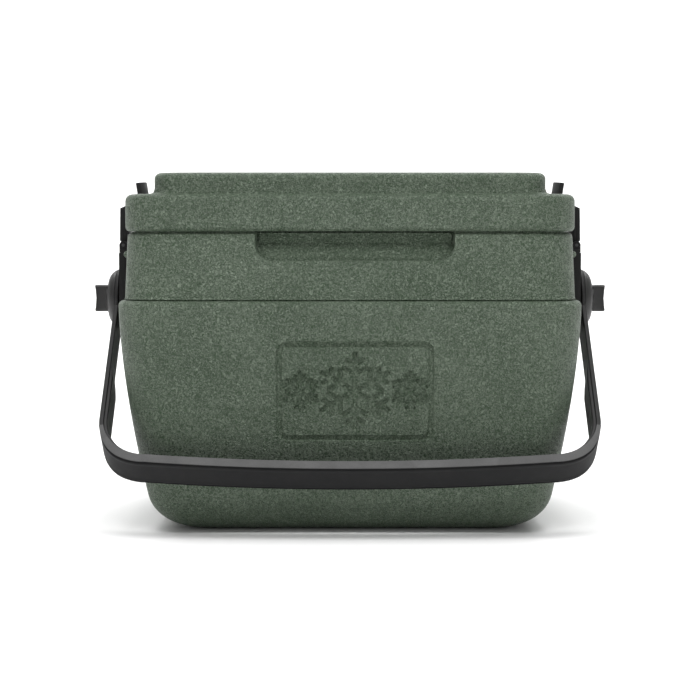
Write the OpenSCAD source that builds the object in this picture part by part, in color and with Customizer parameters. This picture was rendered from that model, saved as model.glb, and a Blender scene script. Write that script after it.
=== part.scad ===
// Hard-sided personal cooler with a swing handle, a hinged lid and two side latches.
// Origin: centre of the base, on the surface it stands on. +Z up, front towards -Y.

/* [Body] */
// Width across the shoulder
body_w = 459; // [380:1:560]
// Depth across the shoulder
body_d = 320; // [280:1:380]
// Height of the body up to the lid seam
body_h = 300; // [260:0.5:360]
// Height of the shoulder line
shoulder_h = 233.5; // [195:0.5:245]
// Set-in of the upper body from the shoulder, each side
shoulder_step = 6.5; // [4:0.5:10]
// Narrowing of the upper body from the shoulder to the seam, each side
upper_taper = 3; // [1:0.5:6]
// Narrowing of the lower body from the shoulder to the base, each side
side_lean = 34.5; // [20:0.5:40]
// Radius of the bottom edge
base_r = 37; // [20:1:44]
// Corner radius seen from above, at the shoulder
corner_r = 42; // [34:1:60]
// Corner radius seen from above, at the base
base_corner_r = 25.5; // [12:0.5:40]
// Small rounding along the shoulder, the seam and the rim
edge_r = 4.5; // [2:0.5:6]
// Thickness of the outer skin
skin_t = 3; // [2:0.5:4]

/* [Cavity] */
// Insulated wall, outside face to liner, at the seam
wall_t = 34; // [28:1:40]
// Insulated floor
floor_t = 36; // [28:1:45]
// Narrowing of the cavity from top to bottom, each side
cavity_draft = 14; // [6:1:18]
// Radius of the cavity's bottom edge
cavity_r = 22; // [12:1:30]
// Thickness of the liner
liner_t = 2.5; // [2:0.5:4]

/* [Finger recess] */
// Width of the recess under the front of the lid
recess_w = 193; // [120:1:220]
// Height of the recess below the seam
recess_h = 27; // [18:1:32]
// Depth of the recess
recess_depth = 11; // [6:1:14]
// Radius of the recess's lower corners
recess_r = 16; // [8:1:18]
// Offset of the recess to the right of the middle
recess_x = 5; // [-20:1:20]

/* [Lid] */
// Open gap between body and lid at the seam
seam_gap = 1; // [0.8:0.1:1.5]
// Height of the lid's rim
rim_h = 36.5; // [30:0.5:45]
// Overhang of the rim beyond the body's top edge
rim_out = 2; // [0:0.5:4]
// Height of the raised panel above the rim
panel_h = 24; // [14:1:28]
// Set-in of the raised panel from the rim at the two ends
panel_in_w = 29; // [26:1:44]
// Set-in of the raised panel from the rim at front and back
panel_in_d = 12; // [8:1:24]
// How far the lid's plug reaches into the cavity
plug_h = 12; // [8:1:16]
// Gap between the plug and the liner
plug_gap = 2.5; // [2:0.5:4]
// Thickness of the lid's underside where it holds the seal
seat_t = 5.5; // [5:0.5:7]
// Width of the seal
gasket_w = 5; // [4:0.5:6]
// Height of the seal
gasket_h = 4; // [3:0.5:4.5]

/* [Rear hinges] */
// Distance of each hinge from the middle
hinge_x = 120; // [70:1:140]
// Width of a hinge
hinge_w = 52; // [40:1:60]
// Thickness of a hinge leaf
leaf_t = 3; // [2.5:0.5:4]
// Height of a hinge leaf's plate
leaf_h = 26; // [22:1:28]
// Outside radius of the knuckles
knuckle_r = 5.5; // [4.5:0.5:6]
// Radius of the hinge pin
hinge_pin_r = 2.5; // [2:0.25:3]

/* [Side brackets and pivots] */
// Height of the handle's pivots
pivot_h = 230.5; // [180:0.5:235]
// How far the bracket's seat stands out beyond the shoulder
seat_out = 3; // [2:0.5:10]
// Thickness of the bracket plate
bracket_t = 9; // [6:0.5:11]
// Radius of the bracket's round lower end
bracket_r = 31.5; // [28:0.5:36]
// Radius of the pivot axle
axle_r = 7; // [6:0.5:8]
// Radius of the axle's tip, which the knob turns on
tip_r = 4; // [3.5:0.25:4.5]
// Running clearance in every bore, on the radius
run_gap = 0.06; // [0.03:0.01:0.1]
// Radius of the threaded insert that holds the axle
axle_insert_r = 11; // [10:0.5:13]
// Radius of the bracket screws' shanks
screw_r = 2.1; // [1.5:0.1:2.6]
// Radius of the bracket screws' heads
screw_head_r = 4.2; // [3.5:0.1:4.8]
// Radius of the threaded inserts for the bracket screws
insert_r = 4.5; // [4:0.25:5.5]

/* [Handle] */
// Width of the handle's strap
arm_w = 35; // [28:1:40]
// Thickness of the strap
arm_t = 4.6; // [4.2:0.1:6]
// Distance from the pivots to the middle of the strap at the grip's ends
handle_reach = 223.5; // [215:0.5:270]
// Radius of the bend between arm and grip, at the middle of the strap
handle_bend = 46; // [35:1:70]
// Outward bow of the grip
handle_bow = 8.5; // [0:0.5:12]
// Thickness of the moulded cover on the outside of the grip
cover_t = 5.6; // [4:0.1:8]
// Angle of the handle at rest, forward of straight down
rest_angle = 45; // [40:1:60]
// Radius of the round eye at each end
hub_r = 31.5; // [28:0.5:36]
// Thickness of the hub cap
cap_t = 8.8; // [6:0.1:11]
// Height of the bush's collar between bracket and strap
collar_t = 0.9; // [0.6:0.1:1.5]

/* [Knobs] */
// Half the span of a knob's wing
knob_r = 14.3; // [12:0.1:17]
// How far a knob stands out from the hub cap
knob_l = 15; // [12:0.5:18]
// Thickness of a knob's wing at its edges
knob_t = 13; // [11:0.5:16]
// Depth of the hollow in a knob's end
knob_dish = 1.7; // [0.5:0.1:2.5]

/* [Latches] */
// Width of a latch
latch_w = 40; // [30:1:44]
// Thickness of a latch's upright
latch_t = 5; // [4:0.5:6]
// Radius of the latch pin
latch_pin_r = 1.6; // [1.25:0.05:2]
// Radius of the latch's knuckle
latch_knuckle_r = 3.4; // [3:0.1:4]
// How far the finger tab stands above the rim
tab_h = 16; // [10:1:20]
// Thickness of the finger tab
tab_t = 3.6; // [3:0.1:5]
// How far the rubber lip reaches onto the lid
lip_reach = 7; // [4:0.5:8]

/* [Hidden] */

green = "#5c6b5a";
black = "#2b2b2b";
steel = "#b4b8bb";
grey = "#d9dbd8";
foam = "#f0ead2";

thin = 0.02;          // thickness of the slices that a rounded body is lofted through
fit = 0.1;            // gap between pieces that are bonded or moulded together
move_gap = 0.4;       // gap between pieces that move past each other
bore_gap = 0.3;       // radial gap around a shaft that passes through without touching
over = 1;             // how far a cutting shape runs past what it cuts
lean_power = 1.6;     // the lower body's sides curve in ever faster towards the base

// Upper body and cavity at the seam
top_w = body_w / 2 - shoulder_step - upper_taper;
top_d = body_d / 2 - shoulder_step - upper_taper;
upper_r = corner_r - shoulder_step;
cavity_w = top_w - wall_t;
cavity_d = top_d - wall_t;
cavity_corner_r = 26;

// Lid
lid_z = body_h + seam_gap;
rim_z = lid_z + rim_h;
rim_w = top_w + rim_out;
rim_d = top_d + rim_out;
rim_edge_r = 7;
panel_z = rim_z + panel_h;
panel_w = rim_w - panel_in_w;
panel_d = rim_d - panel_in_d;
panel_r = upper_r - panel_in_d;
panel_crown = 3;                // rise of the panel's middle above its edge
panel_edge_r = 6;
crown_share = 0.6;              // share of the panel's size that the crown's flat middle takes
plug_w = cavity_w - liner_t - plug_gap;
plug_d = cavity_d - liner_t - plug_gap;
plug_corner_r = 22;
groove_in = 3;                  // from the plug's side to the seal's groove
gasket_squeeze = 0.4;           // how much deeper the groove is than the seal needs
gasket_sink = gasket_h - seam_gap + gasket_squeeze;

// Rear hinges
pin_sink = 1;                   // how far the knuckles overlap the leaves' depth
hinge_y = rim_d + leaf_t + knuckle_r - pin_sink;
hinge_z = lid_z - seam_gap / 2;
leaf_start = knuckle_r - 1.5;   // from the pin's height to the near edge of a leaf's plate
leaf_root = 5;                  // height over which a knuckle's arm joins its plate
knuckle_third = hinge_w / 3;
hinge_screw_r = 1.8;
hinge_screw_l = 14;
hinge_head_r = 3.6;
hinge_head_t = 1.4;
pad_edge = 1;                   // the body's pad is this much larger than the leaf

// Side brackets and pivots
seat_x = body_w / 2 + seat_out;
seat_root = body_w / 2 - 14;    // the seat's block is solid from here outwards
seat_rim = 2.5;                 // edge of the body's coat around the bracket
bracket_x = seat_x + bracket_t;
latch_z = body_h - 13;
latch_x = bracket_x - 4;
bracket_top = latch_z - latch_knuckle_r - 1.5;
seat_top = bracket_top - 1;
bracket_chamfer = 1.6;
ear_w = 7;
ear_r = 4;
ear_root = 3;                   // how far an ear reaches down into the plate
screw_y = 22;
screw_top_z = bracket_top - 9;
screw_low = 17;
screw_grip = 10;                // length of a bracket screw inside the body
screw_head_l = 2.6;
screw_sink = 0.4;               // heads lie this far below the bracket's face
socket_r = 1.8;
socket_depth = 1.4;
insert_l = 12;
axle_insert_l = 26;
insert_end = 4;                 // closed end of the axle's insert
lug_y = 62;
lug_r = 3.4;
lug_out = 8.6;
lug_z = bracket_top - lug_r - 1;

// Handle, measured outwards from the bracket
collar_x = bracket_x + bore_gap;
arm_x = collar_x + collar_t;
arm_out = arm_x + arm_t;
arm_mid = arm_x + arm_t / 2;
cap_out = arm_out + cap_t;
bush_r = axle_r + 2.5;
collar_r = axle_r + 7;
eye_chamfer = 2.6;
eye_slope = 2.2;                // how much the eye narrows over its chamfer
bend_step = 8;                  // degrees between the points of the bend
grip_steps = 8;                 // points of the grip, each side of its middle
grip_half = arm_mid - handle_bend;
cover_end = 8;                  // the cover starts this many degrees into the bend
cover_ramp = 56;                // and reaches its full thickness this much further on
cover_lip = 0.4;                // the cover is narrower than the strap by this on each edge
cap_base_r = hub_r - 2.4;
cap_edge_r = hub_r - 5.5;
cap_face_r = hub_r - 10.5;
cap_side = 0.6;                 // share of the cap's thickness below its bevelled face

// Knobs and the screws that hold them
knob_x = cap_out + move_gap;
knob_out = knob_x + knob_l;
knob_base_r = 12;
knob_base_t = 2;
knob_hollow_r = 22;
knob_waist = 8;
tip_l = 7.7;
tip_out = knob_x + tip_l;
knob_screw_r = 2.5;
knob_screw_in = 11;             // length of the screw inside the axle
knob_screw_head_r = 4.4;
knob_screw_head_l = 2.4;
knob_socket_r = 2;
knob_web = 2.2;                 // the part of the knob held under the screw's head

// Latches and the notches that they stand in
tab_x = rim_w - 9.5;            // innermost face of the finger tab
notch_x = tab_x - 1;
notch_front = latch_w / 2 + 9;
notch_rear = latch_w / 2 + 4;
ledge_z = rim_z - 7;
bridge_t = 5;
bridge_rise = 7;
bridge_end = 11;                // from the tab's face to the end of the bridge's level part
latch_face = latch_x + 4.4;     // outer face of the upright, at its foot
latch_lean = 0.6;               // how far the upright leans in towards its top
latch_top = rim_z - 12;
latch_foot = 4.6;               // from the pin's height to the foot of the upright's face
tab_base = rim_z - 5;
tab_root = 5;                   // how far the tab reaches below the rim's top
tab_curve = 5;                  // the tab's middle is this much further in than its ends
tab_tilt = 9;                   // lean of the tab outwards, in degrees
lip_t = 4.5;
lip_in = 1.5;                   // the lip is narrower than the latch by this on each side
lip_bevel = 2;

// Half the width lost at a height on the lower body
function lean(z) = side_lean * pow(max(shoulder_h - z, 0) / shoulder_h, lean_power);
// Corner radius of the lower body at a height
function corner_at(z) = corner_r - (corner_r - base_corner_r) * max(shoulder_h - z, 0) / shoulder_h;
// The upper body's loss of half width above the shoulder
function taper(z) = shoulder_step + upper_taper * (z - shoulder_h) / (body_h - shoulder_h);

// One thin slice with round corners, the outline of the body less an inset
module slice(hw, hd, r, z) {
    for (sx = [-1, 1], sy = [-1, 1])
        translate([sx * (hw - r), sy * (hd - r), z]) cylinder(h = thin, r = r, $fn = 32);
}
module body_slice(inset, r, z) {
    slice(body_w / 2 - inset, body_d / 2 - inset, r, z);
}

// Height and set-in of a rounded edge of radius r, a degrees round from the side
function edge_in(r, a) = r * (1 - cos(a));
function edge_down(r, a) = r * (1 - sin(a));

// The lower body, or its hollow when t is the skin's thickness
module lower_body(t) {
    r = max(base_r - t, 1);
    top = shoulder_h - t - edge_r;
    hull() {
        for (a = [0:15:90]) {
            z = t + r * (1 - cos(a));
            body_slice(lean(z) + t + edge_down(r, a), corner_at(z) - t, z);
        }
        for (i = [1:4]) {
            z = base_r + (top - base_r) * i / 4;
            body_slice(lean(z) + t, corner_at(z) - t, z);
        }
        for (a = [30:30:90])
            body_slice(t + edge_in(edge_r, a), corner_r - t - edge_in(edge_r, a),
                shoulder_h - t - edge_down(edge_r, a) - thin);
    }
}
// The upper body, with its top edge rounded by e
module upper_body(t, top, e) {
    hull() {
        body_slice(taper(shoulder_h) + t, upper_r - t, shoulder_h - 3 * edge_r);
        for (a = [0:30:90])
            body_slice(taper(top - edge_down(e, a)) + t + edge_in(e, a), upper_r - t,
                top - edge_down(e, a) - thin);
    }
}
// The hollow inside the skin, up to a height
module shell_hollow(t, top) {
    lower_body(t);
    upper_body(t, top, 0);
}
// The cavity: outside of the liner when t is 0
module cavity(t) {
    r = cavity_r - t;
    lost = cavity_draft;
    hull() {
        for (a = [0:22.5:90])
            slice(cavity_w - lost - t - r * (1 - sin(a)), cavity_d - lost - t - r * (1 - sin(a)),
                cavity_corner_r - t, floor_t + t + r * (1 - cos(a)));
        slice(cavity_w - t, cavity_d - t, cavity_corner_r - t, body_h + over);
    }
}

// The finger recess, grown by g for the skin behind it
module recess(g) {
    w = recess_w + 2 * g;
    r = recess_r + g;
    top = body_h + over;
    low = body_h - recess_h - g;
    back = -(body_d / 2 - taper(body_h)) + recess_depth + g;
    translate([recess_x, back, 0]) rotate([90, 0, 0]) linear_extrude(body_d / 4) {
        translate([-w / 2, low + r]) square([w, top - low - r]);
        translate([-w / 2 + r, low]) square([w - 2 * r, top - low]);
        for (s = [-1, 1]) translate([s * (w / 2 - r), low + r]) circle(r = r, $fn = 64);
    }
}

// Cylinder along +X, starting at x, at a place on the side
module rod_x(x, r, l, y = 0, z = pivot_h) {
    translate([x, y, z]) rotate([0, 90, 0]) cylinder(h = l, r = r, $fn = 64);
}
// Everything on the +X side, repeated on the -X side
module on_side(s) {
    if (s > 0) children(); else mirror([1, 0, 0]) children();
}
// The four bracket screws' places, as [y, z]
screw_spots = [[-screw_y, screw_top_z], [screw_y, screw_top_z],
    [-screw_low, pivot_h - screw_low], [screw_low, pivot_h - screw_low]];

// Outline of the bracket in the YZ plane, grown by g, drawn as [height, y]
module bracket_outline(g, top) {
    r = bracket_r + g;
    translate([pivot_h, 0]) circle(r = r, $fn = 96);
    translate([pivot_h, -r]) square([top - pivot_h, 2 * r]);
}
// Turns a drawing in [height, y] into a plate that grows along +X
module plate_x(x, l) {
    translate([x, 0, 0]) rotate([0, 90, 0]) mirror([1, 0, 0]) linear_extrude(l) children();
}
module seat_block(g) {
    plate_x(seat_root - g, seat_x - seat_root + g) bracket_outline(seat_rim + g, seat_top + g);
}
module side_lugs() {
    for (t = [-1, 1]) {
        rod_x(top_w - skin_t, lug_r, lug_out + skin_t, t * lug_y, lug_z);
        translate([top_w + lug_out, t * lug_y, lug_z]) sphere(r = lug_r, $fn = 48);
    }
}
// Places of the hinges' screws, as [x, distance from the pin's height]
hinge_spots = [for (s = [-1, 1], t = [-1, 1])
    [s * hinge_x + t * hinge_w / 4, leaf_start + leaf_h / 2]];
module hinge_screw_row(up, r, head) {
    for (p = hinge_spots)
        translate([p[0], rim_d + leaf_t, hinge_z + up * p[1]]) rotate([90, 0, 0]) {
            cylinder(h = hinge_screw_l, r = r, $fn = 32);
            if (head) cylinder(h = hinge_head_t, r = hinge_head_r, $fn = 32);
        }
}
// Solid blocks behind the body's hinge leaves
module hinge_pads(g) {
    e = pad_edge + g;
    depth = rim_d - top_d + 2 * skin_t + g;
    for (s = [-1, 1])
        translate([s * hinge_x - hinge_w / 2 - e, rim_d - depth, hinge_z - leaf_start - leaf_h - e])
            cube([hinge_w + 2 * e, depth, leaf_h + e + g]);
}

module body_shell() {
    color(green) difference() {
        union() {
            lower_body(0);
            upper_body(0, body_h, edge_r);
            for (s = [-1, 1]) on_side(s) {
                seat_block(0);
                side_lugs();
            }
            hinge_pads(0);
        }
        difference() {
            shell_hollow(skin_t, body_h + over);
            recess(skin_t);
            for (s = [-1, 1]) on_side(s) seat_block(0);
            hinge_pads(0);
        }
        recess(0);
        for (s = [-1, 1]) on_side(s) {
            rod_x(seat_root - over, axle_insert_r, seat_x - seat_root + 2 * over);
            for (p = screw_spots)
                rod_x(seat_x - insert_l, insert_r, insert_l + over, p[0], p[1]);
        }
        hinge_screw_row(-1, hinge_screw_r, false);
    }
}

module body_foam() {
    color(foam) difference() {
        intersection() {
            shell_hollow(skin_t + fit, body_h);
            translate([-body_w, -body_d, 0]) cube([2 * body_w, 2 * body_d, body_h - liner_t - fit]);
        }
        cavity(-fit);
        recess(skin_t + fit);
        for (s = [-1, 1]) on_side(s) {
            seat_block(fit);
            rod_x(seat_x - axle_insert_l - fit, axle_insert_r + fit, axle_insert_l);
        }
        hinge_pads(fit);
        hinge_screw_row(-1, hinge_screw_r + fit, false);
    }
}

module body_liner() {
    color(grey) difference() {
        union() {
            intersection() {
                cavity(0);
                translate([-body_w, -body_d, 0]) cube([2 * body_w, 2 * body_d, body_h]);
            }
            difference() {
                intersection() {
                    upper_body(skin_t + fit, body_h, 0);
                    translate([-body_w, -body_d, body_h - liner_t])
                        cube([2 * body_w, 2 * body_d, liner_t]);
                }
                recess(skin_t + fit);
            }
        }
        cavity(liner_t);
    }
}

// Rod along Y through the latch's pin, of length l
module latch_rod(r, l, sides = 48) {
    translate([latch_x, l / 2, latch_z]) rotate([90, 0, 0]) cylinder(h = l, r = r, $fn = sides);
}
module side_bracket(s) {
    color(black) on_side(s) difference() {
        union() {
            plate_x(seat_x, bracket_t - bracket_chamfer) bracket_outline(0, bracket_top);
            plate_x(bracket_x - bracket_chamfer, bracket_chamfer)
                bracket_outline(0, bracket_top - 2 * bracket_chamfer);
            for (e = [-1, 1]) translate([0, e * (latch_w / 2 + move_gap + ear_w / 2), 0]) {
                latch_rod(ear_r, ear_w);
                translate([seat_x, -ear_w / 2, bracket_top - ear_root])
                    cube([bracket_x - seat_x, ear_w, latch_z - bracket_top + ear_root]);
            }
        }
        rod_x(seat_x - over, axle_r, bracket_t + 2 * over);
        for (p = screw_spots) {
            rod_x(seat_x - over, screw_r, bracket_t + 2 * over, p[0], p[1]);
            rod_x(bracket_x - screw_head_l - screw_sink, screw_head_r, screw_head_l + over, p[0], p[1]);
        }
        latch_rod(latch_pin_r, 2 * (bracket_r + over), 32);
    }
}

module bracket_screws(s) {
    face = bracket_x - screw_sink;
    l = bracket_t + screw_grip;
    color(steel) on_side(s) for (p = screw_spots) difference() {
        union() {
            rod_x(face - l, screw_r, l, p[0], p[1]);
            rod_x(face - screw_head_l, screw_head_r, screw_head_l, p[0], p[1]);
        }
        translate([face - socket_depth, p[0], p[1]]) rotate([0, 90, 0])
            cylinder(h = socket_depth + over, r = socket_r, $fn = 6);
    }
}
module bracket_inserts(s) {
    color("#c9a24b") on_side(s) for (p = screw_spots) difference() {
        rod_x(seat_x - insert_l, insert_r, insert_l, p[0], p[1]);
        rod_x(seat_x - insert_l - over, screw_r, insert_l + 2 * over, p[0], p[1]);
    }
}
module axle_insert(s) {
    color("#c9a24b") on_side(s) difference() {
        rod_x(seat_x - axle_insert_l, axle_insert_r, axle_insert_l);
        rod_x(seat_x - axle_insert_l + insert_end, axle_r, axle_insert_l);
    }
}
module pivot_axle(s) {
    root = seat_x - axle_insert_l + insert_end;
    color(steel) on_side(s) difference() {
        union() {
            rod_x(root, axle_r, cap_out - root);
            rod_x(cap_out - over, tip_r, tip_out - cap_out + over);
        }
        rod_x(tip_out - knob_screw_in - over, knob_screw_r, knob_screw_in + 2 * over);
    }
}
module knob_screw(s) {
    head_x = tip_out + knob_web + 2 * move_gap;
    color(steel) on_side(s) difference() {
        union() {
            rod_x(tip_out - knob_screw_in, knob_screw_r, head_x - tip_out + knob_screw_in);
            rod_x(head_x, knob_screw_head_r, knob_screw_head_l);
        }
        translate([head_x + knob_screw_head_l - socket_depth, 0, pivot_h]) rotate([0, 90, 0])
            cylinder(h = socket_depth + over, r = knob_socket_r, $fn = 6);
    }
}
module latch_pin(s) {
    color(steel) on_side(s) latch_rod(latch_pin_r, latch_w + 2 * move_gap + 2 * ear_w, 32);
}

// A hinge leaf's knuckle and arm, between x0 and x1. up is +1 for the lid's leaf, -1 for the body's.
module leaf_arm(up, x0, x1) {
    translate([x0, 0, 0]) rotate([90, 0, 90]) linear_extrude(x1 - x0) {
        translate([hinge_y, hinge_z]) circle(r = knuckle_r, $fn = 48);
        polygon([[hinge_y, hinge_z + up * knuckle_r],
            [rim_d, hinge_z + up * (leaf_start + leaf_root)],
            [rim_d, hinge_z + up * leaf_start],
            [hinge_y - knuckle_r * cos(37), hinge_z + up * knuckle_r * sin(37)]]);
    }
}
module hinge_leaf(up, s) {
    x = s * hinge_x;
    z0 = up > 0 ? hinge_z + leaf_start : hinge_z - leaf_start - leaf_h;
    color(black) difference() {
        union() {
            translate([x - hinge_w / 2, rim_d, z0]) cube([hinge_w, leaf_t, leaf_h]);
            if (up > 0)
                leaf_arm(up, x - knuckle_third / 2 + move_gap, x + knuckle_third / 2 - move_gap);
            else for (t = [-1, 1])
                leaf_arm(up, x + (t - 0.5) * knuckle_third, x + (t + 0.5) * knuckle_third);
        }
        translate([x - hinge_w, hinge_y, hinge_z]) rotate([0, 90, 0])
            cylinder(h = 2 * hinge_w, r = hinge_pin_r + (up > 0 ? run_gap : 0), $fn = 48);
        hinge_screw_row(up, hinge_screw_r, true);
    }
}
module hinge_pin(s) {
    color(steel) translate([s * hinge_x - hinge_w / 2, hinge_y, hinge_z]) rotate([0, 90, 0])
        cylinder(h = hinge_w, r = hinge_pin_r, $fn = 48);
}
module hinge_screws(up) {
    color(steel) hinge_screw_row(up, hinge_screw_r, true);
}

// A straight-sided block with round corners, between two heights
module block(hw, hd, r, z0, z1) {
    translate([0, 0, z0]) linear_extrude(z1 - z0) {
        square([2 * hw, 2 * (hd - r)], center = true);
        square([2 * (hw - r), 2 * hd], center = true);
        for (sx = [-1, 1], sy = [-1, 1]) translate([sx * (hw - r), sy * (hd - r)]) circle(r = r, $fn = 48);
    }
}
// The rim of the lid, its lower and upper edges rounded
module rim_outside() {
    hull() {
        for (a = [0:30:90]) {
            e = edge_in(edge_r, a);
            slice(rim_w - e, rim_d - e, upper_r - e, lid_z + edge_down(edge_r, a));
        }
        for (a = [0:22.5:90]) {
            e = edge_in(rim_edge_r, a);
            slice(rim_w - e, rim_d - e, upper_r - e, rim_z - edge_down(rim_edge_r, a) - thin);
        }
    }
}
// The raised panel: straight sides, a rounded edge and a slight crown
module panel_outside() {
    edge_z = panel_z - panel_crown;
    side_top = edge_z - panel_edge_r - over;
    block(panel_w, panel_d, panel_r, rim_z - rim_edge_r, side_top);
    hull() {
        slice(panel_w, panel_d, panel_r, side_top - thin);
        for (a = [0:22.5:90]) {
            e = edge_in(panel_edge_r, a);
            slice(panel_w - e, panel_d - e, panel_r - e / 2, edge_z - edge_down(panel_edge_r, a) - thin);
        }
        slice(panel_w * crown_share, panel_d * crown_share, panel_r, panel_z - thin);
    }
}
// The open notch in each end of the rim, grown by g
module notch(g) {
    translate([notch_x - g, -notch_front - g, lid_z - 2 * over])
        cube([rim_w, notch_front + notch_rear + 2 * g, rim_h + 4 * over]);
}
// The step beside the notch that the latch's rubber lip lies on, grown by g
module ledge(g) {
    translate([notch_x - lip_reach - g, -latch_w / 2 - g, ledge_z - g])
        cube([rim_w, latch_w + 2 * g, rim_z]);
}
// The hollow of the lid, from a height up, less a clearance g
module lid_hollow(g, z0) {
    edge_z = panel_z - panel_crown;
    difference() {
        union() {
            block(rim_w - skin_t - g, rim_d - skin_t - g, upper_r - skin_t, z0, rim_z - rim_edge_r - g);
            block(panel_w - skin_t - g, panel_d - skin_t - g, panel_r - skin_t,
                z0, edge_z - panel_edge_r - g);
            block(panel_w - panel_edge_r - g, panel_d - panel_edge_r - g, panel_r - panel_edge_r,
                z0, edge_z - skin_t - g);
        }
        for (s = [-1, 1]) on_side(s) {
            notch(skin_t + g);
            ledge(skin_t + g);
        }
    }
}
module plug_block(t, z0, z1) {
    block(plug_w - t, plug_d - t, plug_corner_r - t, z0, z1);
}
module seal_ring(g, z0, z1) {
    out = groove_in + gasket_w + g;
    difference() {
        block(plug_w + out, plug_d + out, plug_corner_r + out, z0, z1);
        block(plug_w + groove_in - g, plug_d + groove_in - g, plug_corner_r + groove_in - g,
            z0 - over, z1 + over);
    }
}

module lid_shell() {
    color(green) difference() {
        union() {
            rim_outside();
            panel_outside();
        }
        lid_hollow(0, lid_z - over);
        for (s = [-1, 1]) on_side(s) {
            notch(0);
            ledge(0);
        }
        hinge_screw_row(1, hinge_screw_r, false);
    }
}
module lid_foam() {
    color(foam) difference() {
        union() {
            lid_hollow(fit, lid_z + seat_t + fit);
            plug_block(liner_t + fit, lid_z - plug_h + liner_t + fit, lid_z + seat_t + 2 * over);
        }
        hinge_screw_row(1, hinge_screw_r + fit, false);
    }
}
module lid_liner() {
    color(grey) difference() {
        union() {
            difference() {
                block(rim_w - skin_t - fit, rim_d - skin_t - fit, upper_r - skin_t, lid_z, lid_z + seat_t);
                for (s = [-1, 1]) on_side(s) notch(skin_t + fit);
            }
            plug_block(0, lid_z - plug_h, lid_z + seat_t);
        }
        plug_block(liner_t, lid_z - plug_h + liner_t, lid_z + seat_t + over);
        seal_ring(0, lid_z - over, lid_z + gasket_sink);
        hinge_screw_row(1, hinge_screw_r + fit, false);
    }
}
module lid_gasket() {
    color("#3a3c3b") seal_ring(-fit, lid_z + gasket_sink - gasket_h, lid_z + gasket_sink - fit);
}

// Side view of the latch as [x, z]: knuckle, upright and the bridge over the notch
module latch_profile() {
    inner = latch_x - latch_knuckle_r;
    heel = latch_x + latch_knuckle_r - move_gap;
    face_top = latch_face - latch_lean;
    bridge_z = latch_top + bridge_rise;
    floor_z = tab_base + 1;
    translate([latch_x, latch_z]) circle(r = latch_knuckle_r, $fn = 48);
    polygon([[inner, latch_z], [heel, latch_z + 1], [heel, latch_z + latch_foot - 1],
        [latch_face, latch_z + latch_foot], [face_top, latch_top], [face_top - 3, latch_top + 1.5],
        [tab_x + bridge_end, bridge_z], [tab_x + bridge_end, floor_z], [tab_x, floor_z],
        [tab_x, floor_z - bridge_t], [tab_x + bridge_end - 3, bridge_z - bridge_t],
        [face_top - latch_t, latch_top - 2], [inner, latch_z + 2 * latch_foot - 1]]);
}
// The finger tab: an upright piece of a thin tube, leaning outwards
module finger_tab() {
    curve_r = (pow(latch_w / 2, 2) + pow(tab_curve, 2)) / (2 * tab_curve);
    h = tab_h + tab_root;
    intersection() {
        translate([tab_x, 0, tab_base]) rotate([0, tab_tilt, 0]) translate([curve_r, 0, 0]) difference() {
            cylinder(h = h, r = curve_r, $fn = 96);
            translate([0, 0, -over]) cylinder(h = h + 2 * over, r = curve_r - tab_t, $fn = 96);
        }
        translate([tab_x - over, -latch_w / 2, tab_base - over])
            cube([tab_curve + tab_t + 6, latch_w, h + 2 * over]);
    }
}
module latch(s) {
    color(black) on_side(s) difference() {
        union() {
            translate([0, latch_w / 2, 0]) rotate([90, 0, 0]) linear_extrude(latch_w) latch_profile();
            finger_tab();
        }
        latch_rod(latch_pin_r + run_gap, 2 * latch_w, 32);
    }
}
// The soft lip at the end of the bridge, which lies on the lid's ledge
module latch_lip(s) {
    low = ledge_z + fit;
    high = ledge_z + lip_t;
    color("#1c1c1c") on_side(s) translate([tab_x - lip_reach, latch_w / 2 - lip_in, 0])
        rotate([90, 0, 0]) linear_extrude(latch_w - 2 * lip_in)
            polygon([[0, low], [lip_reach, low], [lip_reach, high], [lip_bevel, high],
                [0, high - lip_bevel]]);
}

// The handle is drawn flat: x across, y away from the pivots, then laid at its rest angle.
module at_rest() {
    translate([0, 0, pivot_h]) rotate([-90 - rest_angle, 0, 0]) children();
}
// A point of the bend, a degrees round, and of the grip, both offset outwards by o
function bend_pt(a, o) = [grip_half + (handle_bend + o) * cos(a),
    handle_reach - handle_bend + (handle_bend + o) * sin(a)];
function grip_pt(x, o) = [x, handle_reach + o + handle_bow * (1 - pow(x / grip_half, 2))];
// One side of the strap's outline, right arm to left arm, from a0 degrees into the bend
function strap_side(o, a0) = concat(
    [for (a = [a0:bend_step:90 - thin]) bend_pt(a, o)],
    [for (i = [-grip_steps:grip_steps]) grip_pt(-i / grip_steps * grip_half, o)],
    reversed([for (a = [a0:bend_step:90 - thin]) [-bend_pt(a, o)[0], bend_pt(a, o)[1]]]));
function reversed(v) = [for (i = [len(v) - 1:-1:0]) v[i]];

// The cover's outside, with o for the strap's share of its offset
function cover_side(o) = concat(
    [for (a = [cover_end:bend_step:90 - thin]) bend_pt(a, o + cover_at(a))],
    [for (i = [-grip_steps:grip_steps]) grip_pt(-i / grip_steps * grip_half, o + cover_t)],
    reversed([for (a = [cover_end:bend_step:90 - thin])
        [-bend_pt(a, o + cover_at(a))[0], bend_pt(a, o + cover_at(a))[1]]]));

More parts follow.
